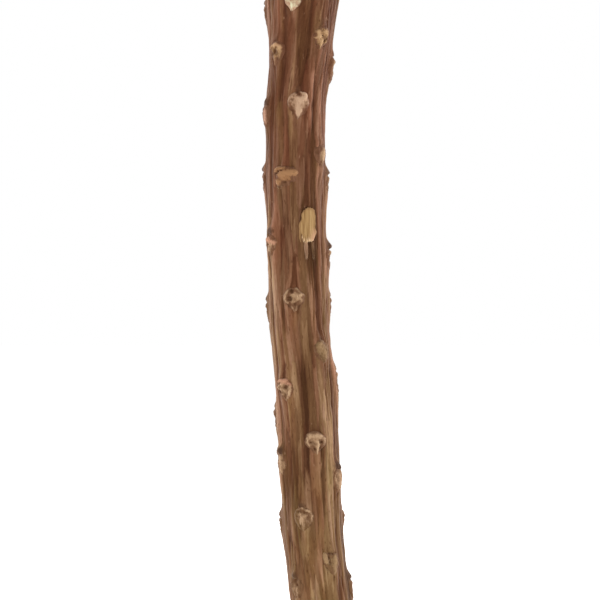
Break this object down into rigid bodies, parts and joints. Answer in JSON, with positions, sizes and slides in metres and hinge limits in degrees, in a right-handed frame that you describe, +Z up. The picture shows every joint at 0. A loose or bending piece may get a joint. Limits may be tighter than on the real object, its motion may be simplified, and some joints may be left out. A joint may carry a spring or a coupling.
{
  "type": "dried banksia stem",
  "caption": "Bare length of dried banksia stem: a slightly bowed, ridged brown stalk with corky leaf bases spiralling round it, cut square at the foot and aslant at the top.",
  "frame": {"origin": "middle of the cut foot, on the pith", "axes": "+Z up the stem towards where the flower grew, -Y the front, +X to the right as seen from the front"},
  "size_m": [0.0165, 0.0132, 0.1282],
  "materials": {
    "bark": "dry, matt, fissured lengthwise",
    "wood": "sawn end grain, matt",
    "pith": "soft, crumbly, matt",
    "scar_cork": "corky, matt, pitted",
    "torn_bark": "fibrous, matt, frayed"
  },
  "bodies": {
    "root": {"pith": "pith", "wood": "wood", "bark": "bark", "leaf_base_01": "scar_cork", "leaf_base_02": "scar_cork", "leaf_base_03": "scar_cork", "leaf_base_04": "scar_cork", "leaf_base_05": "scar_cork", "leaf_base_06": "scar_cork", "leaf_base_07": "scar_cork", "leaf_base_08": "scar_cork", "leaf_base_09": "scar_cork", "leaf_base_10": "scar_cork", "leaf_base_11": "scar_cork", "leaf_base_12": "scar_cork", "leaf_base_13": "scar_cork", "leaf_base_14": "scar_cork", "leaf_base_15": "scar_cork", "leaf_base_16": "scar_cork", "leaf_base_17": "scar_cork", "leaf_base_18": "scar_cork", "leaf_base_19": "scar_cork", "leaf_base_20": "scar_cork", "leaf_base_21": "scar_cork", "leaf_base_22": "scar_cork", "leaf_base_23": "scar_cork", "leaf_base_24": "scar_cork", "leaf_base_25": "scar_cork", "leaf_base_26": "scar_cork", "leaf_base_27": "scar_cork", "leaf_base_28": "scar_cork", "leaf_base_29": "torn_bark", "leaf_base_30": "scar_cork", "leaf_base_31": "scar_cork", "leaf_base_32": "scar_cork", "leaf_base_33": "scar_cork", "leaf_base_34": "scar_cork", "leaf_base_35": "scar_cork", "leaf_base_36": "scar_cork", "leaf_base_37": "scar_cork", "leaf_base_38": "scar_cork", "leaf_base_39": "scar_cork", "leaf_base_40": "scar_cork", "leaf_base_41": "scar_cork", "leaf_base_42": "scar_cork", "leaf_base_43": "scar_cork", "leaf_base_44": "scar_cork", "leaf_base_45": "scar_cork", "leaf_base_46": "scar_cork", "leaf_base_47": "scar_cork", "peeled_strip_left": "torn_bark", "peeled_strip_right": "torn_bark"}
  },
  "joints": []
}
